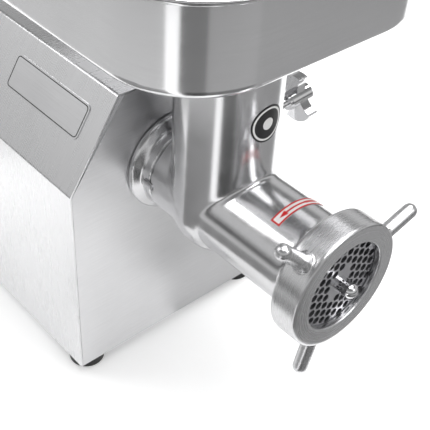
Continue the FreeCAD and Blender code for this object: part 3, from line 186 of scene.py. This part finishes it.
def metal(name, color, rough, spread=0.05, stretch=(40, 40, 900), turned=None, depth=2e-5, dark=0.88):
    """Metal with brushed or turned grain, soft smears and worn edges."""
    material, tree, bsdf = shader(name)
    place, grain_at = turned_grain(tree, *turned) if turned else straight_grain(tree, stretch)
    grain = noise(tree, grain_at, 1400.0 if turned else 1.0, 6.0)
    smear = noise(tree, place, 16.0)
    both = math_node(tree, "ADD", math_node(tree, "MULTIPLY", grain, 0.6),
                     math_node(tree, "MULTIPLY", smear, 0.4))
    tree.links.new(tint(tree, color, ramp(tree, both, 0, 1), dark), bsdf.inputs["Base Color"])
    edge = ramp(tree, tree.nodes.new("ShaderNodeNewGeometry").outputs["Pointiness"], 0.0, 0.06, (0.5, 0.6))
    tree.links.new(math_node(tree, "ADD", ramp(tree, both, rough - spread, rough + spread), edge),
                   bsdf.inputs["Roughness"])
    tree.links.new(bump(tree, grain, depth), bsdf.inputs["Normal"])
    bsdf.inputs["Metallic"].default_value = 1.0
    return material


def moulded(name, color, rough, grain=1500.0, depth=1e-4, coat=0.0):
    """Plastic, rubber, paint or paper with a fine grain and uneven gloss."""
    material, tree, bsdf = shader(name)
    place = tree.nodes.new("ShaderNodeTexCoord").outputs["Object"]
    fine = noise(tree, place, grain)
    broad = noise(tree, place, 40.0)
    tree.links.new(tint(tree, color, ramp(tree, broad, 0, 1), 0.8), bsdf.inputs["Base Color"])
    tree.links.new(ramp(tree, broad, rough - 0.07, rough + 0.07), bsdf.inputs["Roughness"])
    tree.links.new(bump(tree, fine, depth, 0.5), bsdf.inputs["Normal"])
    bsdf.inputs["Coat Weight"].default_value = coat
    return material


# ---- Materials, by the record's slots

barrel_axis = (AXIS_X, AXIS_Z)
motor = middle("motor_shaft")
lay = middle("layshaft")
MATERIALS = {
    "casing_steel": metal("casing_steel", (0.80, 0.80, 0.81), 0.22, 0.04, (30, 900, 30)),
    "panel_steel": metal("panel_steel", (0.76, 0.76, 0.77), 0.30, 0.04, (30, 30, 900), depth=5e-6),
    "base_steel": metal("base_steel", (0.52, 0.53, 0.54), 0.42, 0.06),
    "tray_steel": metal("tray_steel", (0.80, 0.80, 0.81), 0.15, 0.04, (30, 30, 900), depth=5e-6),
    "head_steel": metal("head_steel", (0.70, 0.70, 0.71), 0.19, 0.05, (60, 60, 60), depth=8e-6),
    "ring_steel": metal("ring_steel", (0.68, 0.68, 0.69), 0.27, 0.02,
                        turned=barrel_axis, depth=4e-6, dark=0.96),
    "plate_steel": metal("plate_steel", (0.60, 0.60, 0.62), 0.26, 0.05, (700, 30, 60)),
    "knife_steel": metal("knife_steel", (0.60, 0.60, 0.62), 0.25, 0.05, (700, 30, 60)),
    "auger_steel": metal("auger_steel", (0.62, 0.62, 0.63), 0.32, 0.06, turned=barrel_axis),
    "bright_steel": metal("bright_steel", (0.80, 0.80, 0.81), 0.10, 0.03, (200, 200, 200), depth=3e-6),
    "fastener_steel": metal("fastener_steel", (0.58, 0.58, 0.60), 0.30, 0.06, (300, 300, 300)),
    "nameplate_metal": metal("nameplate_metal", (0.78, 0.78, 0.79), 0.30, 0.05, (900, 25, 900)),
    "gear_steel": metal("gear_steel", (0.40, 0.40, 0.41), 0.34, 0.07, turned=(lay.x, lay.z)),
    "bearing_steel": metal("bearing_steel", (0.62, 0.62, 0.64), 0.22, 0.05, turned=barrel_axis),
    "gearbox_metal": metal("gearbox_metal", (0.55, 0.56, 0.57), 0.48, 0.08, (500, 500, 500), depth=1e-4),
    "stand_paint": moulded("stand_paint", (0.035, 0.037, 0.040), 0.42, 900.0),
    "motor_paint": moulded("motor_paint", (0.055, 0.062, 0.075), 0.45, 700.0, 2e-4),
    "lamination_steel": metal("lamination_steel", (0.26, 0.26, 0.27), 0.45, 0.06, (20, 2200, 20), depth=1e-4),
    "winding_copper": metal("winding_copper", (0.62, 0.25, 0.09), 0.30, 0.06,
                            turned=(motor.x, motor.z), depth=2e-4),
    "black_rubber": moulded("black_rubber", (0.012, 0.012, 0.012), 0.62, 1800.0, 1.5e-4),
    "seal_rubber": moulded("seal_rubber", (0.014, 0.012, 0.012), 0.55),
    "gasket_sheet": moulded("gasket_sheet", (0.10, 0.055, 0.030), 0.70, 2500.0),
    "washer_plastic": moulded("washer_plastic", (0.72, 0.70, 0.62), 0.40),
    "black_plastic": moulded("black_plastic", (0.016, 0.016, 0.017), 0.42),
    "capacitor_shell": moulded("capacitor_shell", (0.62, 0.62, 0.60), 0.38),
    "start_green": moulded("start_green", (0.010, 0.20, 0.035), 0.25, coat=0.4),
    "stop_red": moulded("stop_red", (0.42, 0.008, 0.008), 0.25, coat=0.4),
    "label_white": moulded("label_white", (0.80, 0.80, 0.79), 0.35, 2000.0, 1e-5),
    "label_red": moulded("label_red", (0.60, 0.010, 0.012), 0.35, 2000.0, 1e-5),
    "label_black": moulded("label_black", (0.010, 0.010, 0.011), 0.35, 2000.0, 1e-5),
}


def paint_frame():
    """Give every CAD node its slot's material."""
    slots = {row["node"]: row["material_slot"] for row in frame["record"]["subparts"]}
    for name, piece in nodes.items():
        piece.data.materials.clear()
        piece.data.materials.append(MATERIALS[slots[name]])


CASTING_VOXEL = 0.0013
RING_VOXEL = 0.0008


def soften(piece, voxel, passes):
    """Round a casting's edges and blend its inside corners; voxel is a size in metres."""
    remesh = piece.modifiers.new("cast", "REMESH")
    remesh.mode = "VOXEL"
    remesh.voxel_size = voxel
    remesh.use_smooth_shade = True
    smooth = piece.modifiers.new("blend", "SMOOTH")
    smooth.factor = 0.5
    smooth.iterations = passes


def ring_casting():
    """Ring nut and lugs as the one casting they are, so that the lugs' roots blend in."""
    bm = bmesh.new()
    for name in ("ring_nut", "ring_lugs"):
        bm.from_mesh(nodes[name].data)
    mesh = bpy.data.meshes.new("ring_casting")
    bm.to_mesh(mesh)
    bm.free()
    ring = bpy.data.objects.new("ring_casting", mesh)
    scene.collection.objects.link(ring)
    mesh.materials.append(MATERIALS["ring_steel"])
    soften(ring, RING_VOXEL, 6)
    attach(ring, "ring")
    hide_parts("ring_nut", "ring_lugs")


# ---- Printed marks

def ribbon(bm, wrap, one_edge, other_edge, thickness, closed=False):
    """Closed ribbon between two edges, laid on a surface by wrap(along, across, lift)."""
    rows = []
    for (a, b), (c, d) in zip(one_edge, other_edge):
        corners = ((a, b, 0.0), (c, d, 0.0), (c, d, thickness), (a, b, thickness))
        rows.append([bm.verts.new(wrap(*corner)) for corner in corners])
    pairs = list(zip(rows, rows[1:]))
    if closed:
        pairs.append((rows[-1], rows[0]))
    else:
        bm.faces.new(rows[0])
        bm.faces.new(reversed(rows[-1]))
    for here, there in pairs:
        for k in range(4):
            n = (k + 1) % 4
            bm.faces.new((here[n], here[k], there[k], there[n]))


def printed(name, bm, slot, body):
    """Finish a mark's mesh and let it ride on a body."""
    bmesh.ops.recalc_face_normals(bm, faces=bm.faces)
    mesh = bpy.data.meshes.new(name)
    bm.to_mesh(mesh)
    bm.free()
    mark = bpy.data.objects.new(name, mesh)
    scene.collection.objects.link(mark)
    mesh.materials.append(MATERIALS[slot])
    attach(mark, body)


def steps(start, end, count):
    """Evenly spaced values, both ends included."""
    return [start + (end - start) * k / count for k in range(count + 1)]


def on_barrel(lift):
    """Surface round the barrel: along is an angle, across is a distance along the axis."""
    def wrap(angle, across, height):
        radius = LABEL_RADIUS + lift + height
        return (AXIS_X + radius * math.cos(angle), LABEL_Y + across, AXIS_Z + radius * math.sin(angle))
    return wrap


INK = 0.0002  # thickness of a printed mark
STRIP_HALF_WIDTH = 0.0042
STRIP_LINE = 0.0012
STRIP_FROM, STRIP_TO = math.radians(47), math.radians(121)
TAIL_FROM, SHAFT_FROM, HEAD_FROM, TIP = (math.radians(a) for a in (56, 76, 104, 114))
TAIL_HALF, SHAFT_HALF, HEAD_HALF, TIP_HALF = 0.0011, 0.0007, 0.0023, 0.0001


def arrow_label():
    """White strip with a red border and a red arrow, round the top of the barrel."""
    half = STRIP_HALF_WIDTH
    line = STRIP_LINE
    bm = bmesh.new()
    angles = steps(STRIP_FROM, STRIP_TO, 30)
    ribbon(bm, on_barrel(0.0), [(a, -half) for a in angles], [(a, half) for a in angles], INK)
    printed("arrow_strip", bm, "label_white", "head")
    bm = bmesh.new()
    wrap = on_barrel(0.0001)
    for side in (-1, 1):
        edge = side * (half - 0.5 * line)
        ribbon(bm, wrap, [(a, edge - 0.5 * line) for a in angles],
               [(a, edge + 0.5 * line) for a in angles], INK)
    for at in (STRIP_FROM, STRIP_TO):
        ends = [at - 0.5 * line / LABEL_RADIUS, at + 0.5 * line / LABEL_RADIUS]
        ribbon(bm, wrap, [(a, -half) for a in ends], [(a, half) for a in ends], 0.00025)
    tail = steps(TAIL_FROM, SHAFT_FROM, 8)
    ribbon(bm, wrap, [(a, -TAIL_HALF) for a in tail], [(a, TAIL_HALF) for a in tail], INK)
    shaft = steps(SHAFT_FROM, HEAD_FROM, 12)
    ribbon(bm, wrap, [(a, -SHAFT_HALF) for a in shaft], [(a, SHAFT_HALF) for a in shaft], INK)
    head = list(zip(steps(HEAD_FROM, TIP, 6), steps(HEAD_HALF, TIP_HALF, 6)))
    ribbon(bm, wrap, [(a, -w) for a, w in head], head, INK)
    printed("arrow_marks", bm, "label_red", "head")


ROUNDEL_RADIUS = 0.015
ROUNDEL_FACING = math.radians(-88)


def roundel():
    """Plain round mark on the front of the neck: a dark disc, a pale ring and a pale dot."""

    def wrap(along, across, height):
        reach = NECK_RADIUS + height
        angle = ROUNDEL_FACING + along / NECK_RADIUS
        return (AXIS_X + reach * math.cos(angle), neck.y + reach * math.sin(angle), ROUNDEL_Z + across)

    def disc(bm, size, thickness):
        places = [-math.cos(t) * size for t in steps(0.03, math.pi - 0.03, 24)]
        heights = [math.sqrt(size * size - u * u) for u in places]
        ribbon(bm, wrap, [(u, -h) for u, h in zip(places, heights)], list(zip(places, heights)), thickness)

    def circle(size):
        return [(size * math.cos(t), size * math.sin(t)) for t in steps(0, 2 * math.pi, 48)[:-1]]

    bm = bmesh.new()
    disc(bm, ROUNDEL_RADIUS, INK)
    printed("roundel_disc", bm, "label_black", "head")
    bm = bmesh.new()
    ribbon(bm, wrap, circle(0.80 * ROUNDEL_RADIUS), circle(0.90 * ROUNDEL_RADIUS), 0.0003, closed=True)
    disc(bm, 0.32 * ROUNDEL_RADIUS, 0.0003)
    printed("roundel_ring", bm, "label_white", "head")


PLATE_CORNER = 0.005


def nameplate_edge_shadow():
    """Black line just inside the blank nameplate's edge: a painted shadow along the plate's edge."""
    mesh = nodes["nameplate"].data
    face = max((p for p in mesh.polygons if p.normal.z > 0.1), key=lambda p: p.area)
    outward = face.normal.copy()
    along = Vector((0, 1, 0))
    up = outward.cross(along)
    level = max(v.co.dot(outward) for v in mesh.vertices)
    centre = middle("nameplate")
    half_along = max((v.co - centre).dot(along) for v in mesh.vertices)
    half_up = max((v.co - centre).dot(up) for v in mesh.vertices)
    origin = centre + outward * (level - centre.dot(outward))

    def wrap(a, b, height):
        return origin + along * a + up * b + outward * height

    def outline(inset):
        corner = PLATE_CORNER - inset
        points = []
        for index, (sx, sy) in enumerate(((1, 1), (-1, 1), (-1, -1), (1, -1))):
            for turn in steps(0, math.pi / 2, 8):
                angle = turn + index * math.pi / 2
                points.append((sx * (half_along - PLATE_CORNER) + corner * math.cos(angle),
                               sy * (half_up - PLATE_CORNER) + corner * math.sin(angle)))
        return points

    bm = bmesh.new()
    # Painted shadow: a black ribbon just inside the nameplate's edge.
    ribbon(bm, wrap, outline(0.0022), outline(0.0014), 0.0001, closed=True)
    printed("nameplate_edge_shadow", bm, "label_black", "frame")


# ---- Floor, light and camera

def floor():
    """Plain pale floor."""
    bpy.ops.mesh.primitive_plane_add(size=12.0)
    plane = bpy.context.object
    plane.name = "floor"
    material, _, bsdf = shader("floor_pale")
    bsdf.inputs["Base Color"].default_value = (0.90, 0.90, 0.90, 1)
    bsdf.inputs["Roughness"].default_value = 0.9
    bsdf.inputs["Emission Color"].default_value = (1, 1, 1, 1)
    bsdf.inputs["Emission Strength"].default_value = 0.30
    plane.data.materials.append(material)


def card(name, start, end, inner, outer, shade):
    """Grey card flat on the floor, part of a ring round the neck, seen only in reflections: a painted
    reflection on the polished metal.
    """
    angles = [math.radians(a) for a in steps(start, end, max(2, math.ceil((end - start) / 6)))]
    bm = bmesh.new()
    rows = []
    for angle in angles:
        out = Vector((math.cos(angle), math.sin(angle), 0))
        foot = Vector((AXIS_X, neck.y, 0.001))
        rows.append([bm.verts.new(foot + out * reach) for reach in (inner, outer)])
    for here, there in zip(rows, rows[1:]):
        bm.faces.new((here[0], here[1], there[1], there[0]))
    mesh = bpy.data.meshes.new(name)
    bm.to_mesh(mesh)
    bm.free()
    flat = bpy.data.objects.new(name, mesh)
    scene.collection.objects.link(flat)
    material, _, bsdf = shader(name)
    bsdf.inputs["Base Color"].default_value = (shade, shade, shade, 1)
    bsdf.inputs["Roughness"].default_value = 1.0
    mesh.materials.append(material)
    flat.visible_camera = False
    flat.visible_diffuse = False
    flat.visible_shadow = False


# Cards round the neck: angles in degrees from +X, reach in metres, and how pale each is.
# They were chosen for the main view, and are the least plain part of this studio.
# The cards paint the dark and grey reflection bands on the polished metal; they cast no shade and the camera
# never sees them.
FLOOR_CARDS = (
    ("card_left_far", 118, 150, 0.48, 1.00, 0.50),
    ("card_side_near", 140, 203, 0.22, 0.50, 0.24),
    ("card_side_far", 150, 203, 0.50, 1.00, 0.50),
    ("card_camera_near", 216, 242, 0.20, 0.50, 0.05),
    ("card_camera_far", 216, 242, 0.50, 1.00, 0.16),
    ("card_front_near", 242, 296, 0.22, 0.50, 0.13),
    ("card_front_far", 242, 296, 0.50, 1.00, 0.30),
    ("card_right", 296, 350, 0.21, 1.00, 0.27),
    ("card_far", 0, 360, 1.00, 5.00, 0.08),
)


GRADES = 12
PALEST = 0.85
PANEL_FROM, PANEL_SPAN = 296, 52  # degrees
FOOT_FROM, FOOT_SPAN = 0.045, 0.215  # metres


def graded_cards():
    """Cards that darken step by step under the barrel, which the front panel reflects: painted shade on the
    floor under the machine, seen only in that reflection.
    """
    for k in range(GRADES):
        share = (k + 0.5) / GRADES
        start = PANEL_FROM + PANEL_SPAN * k / GRADES
        end = PANEL_FROM + PANEL_SPAN * (k + 1) / GRADES
        card(f"card_panel_{k}", start, end, 0.04, 0.21, PALEST - 0.60 * share)
        near = FOOT_FROM + FOOT_SPAN * k / GRADES
        far = FOOT_FROM + FOOT_SPAN * (k + 1) / GRADES
        card(f"card_foot_{k}", 348, 430, near, far, PALEST - 0.62 * share)


def softbox(name, place, target, size, power):
    """Soft rectangular light aimed at a point."""
    light = bpy.data.lights.new(name, "AREA")
    light.shape = "RECTANGLE"
    light.size = size[0]
    light.size_y = size[1]
    light.energy = power
    lamp = bpy.data.objects.new(name, light)
    scene.collection.objects.link(lamp)
    lamp.location = place
    lamp.rotation_euler = (Vector(target) - Vector(place)).to_track_quat("-Z", "Y").to_euler()


# Brightness of the room that reflections see, by height from straight down to straight up.
ROOM = ((0.0, 0.36), (0.10, 0.68), (0.34, 0.68), (0.50, 0.26), (0.85, 0.20))

# Lights: place from the object's middle, width and height, watts.
LIGHTS = (
    ("top_light", (0.3, -0.3, 2.0), (2.2, 1.8), 62),
    ("left_light", (-1.17, 1.21, 1.41), (0.8, 0.9), 12),
    ("front_light", (0.6, -2.0, 1.3), (0.8, 0.6), 8),
)


def studio():
    """White surroundings seen directly; in reflections, a dim room with a pale band above the floor."""
    world = bpy.data.worlds.new("studio")
    scene.world = world
    world.use_nodes = True
    tree = world.node_tree
    back = tree.nodes["Background"]
    place = tree.nodes.new("ShaderNodeTexCoord")
    split = tree.nodes.new("ShaderNodeSeparateXYZ")
    tree.links.new(place.outputs["Generated"], split.inputs[0])
    height = tree.nodes.new("ShaderNodeValToRGB")
    tree.links.new(split.outputs["Z"], height.inputs["Fac"])
    while len(height.color_ramp.elements) < len(ROOM):
        height.color_ramp.elements.new(1.0)
    for element, (at, shade) in zip(height.color_ramp.elements, ROOM):
        element.position = at
        element.color = (shade, shade, shade, 1)
    tree.links.new(height.outputs["Color"], back.inputs["Color"])
    white = add(tree, "ShaderNodeBackground", Color=(1, 1, 1, 1), Strength=1.0)
    mix = tree.nodes.new("ShaderNodeMixShader")
    ray = tree.nodes.new("ShaderNodeLightPath")
    tree.links.new(ray.outputs["Is Camera Ray"], mix.inputs[0])
    tree.links.new(back.outputs[0], mix.inputs[1])
    tree.links.new(white.outputs[0], mix.inputs[2])
    tree.links.new(mix.outputs[0], tree.nodes["World Output"].inputs["Surface"])
    centre = (cad_box[0] + cad_box[1]) / 2
    for name, offset, size, power in LIGHTS:
        softbox(name, centre + Vector(offset), centre, size, power)


VIEW_AZIMUTH = -133.930  # degrees from +X to the camera
VIEW_ELEVATION = 39.622
VIEW_ROLL = 3.908
VIEW_PLACE = (-0.3786, -0.2545, 0.4274)  # from the middle of the ring's face
VIEW_LENS = 72.57  # mm, on a 36 mm sensor


def camera():
    """Camera at the fitted viewing angle."""
    data = bpy.data.cameras.new("camera")
    data.sensor_width = 36.0
    data.lens = VIEW_LENS
    data.clip_start = 0.02
    data.clip_end = 40.0
    rig = bpy.data.objects.new("camera", data)
    scene.collection.objects.link(rig)
    turn = (Matrix.Rotation(math.radians(VIEW_AZIMUTH + 90), 4, "Z")
            @ Matrix.Rotation(math.radians(90 - VIEW_ELEVATION), 4, "X")
            @ Matrix.Rotation(math.radians(VIEW_ROLL), 4, "Z"))
    front = Vector((AXIS_X, ring_front, AXIS_Z))
    rig.matrix_world = Matrix.Translation(front + Vector(VIEW_PLACE)) @ turn
    scene.camera = rig


paint_frame()
soften(nodes["head_casting"], CASTING_VOXEL, 22)
soften(nodes["head_socket"], CASTING_VOXEL, 6)
ring_casting()
arrow_label()
roundel()
# Painted shadow along the nameplate's edge.
nameplate_edge_shadow()
floor()
# Cards that paint reflections on the polished metal.
for name, start, end, inner, outer, shade in FLOOR_CARDS:
    card(name, start, end, inner, outer, shade)
# Cards that paint the floor's shade under the barrel into the front panel's reflection.
graded_cards()
studio()
camera()
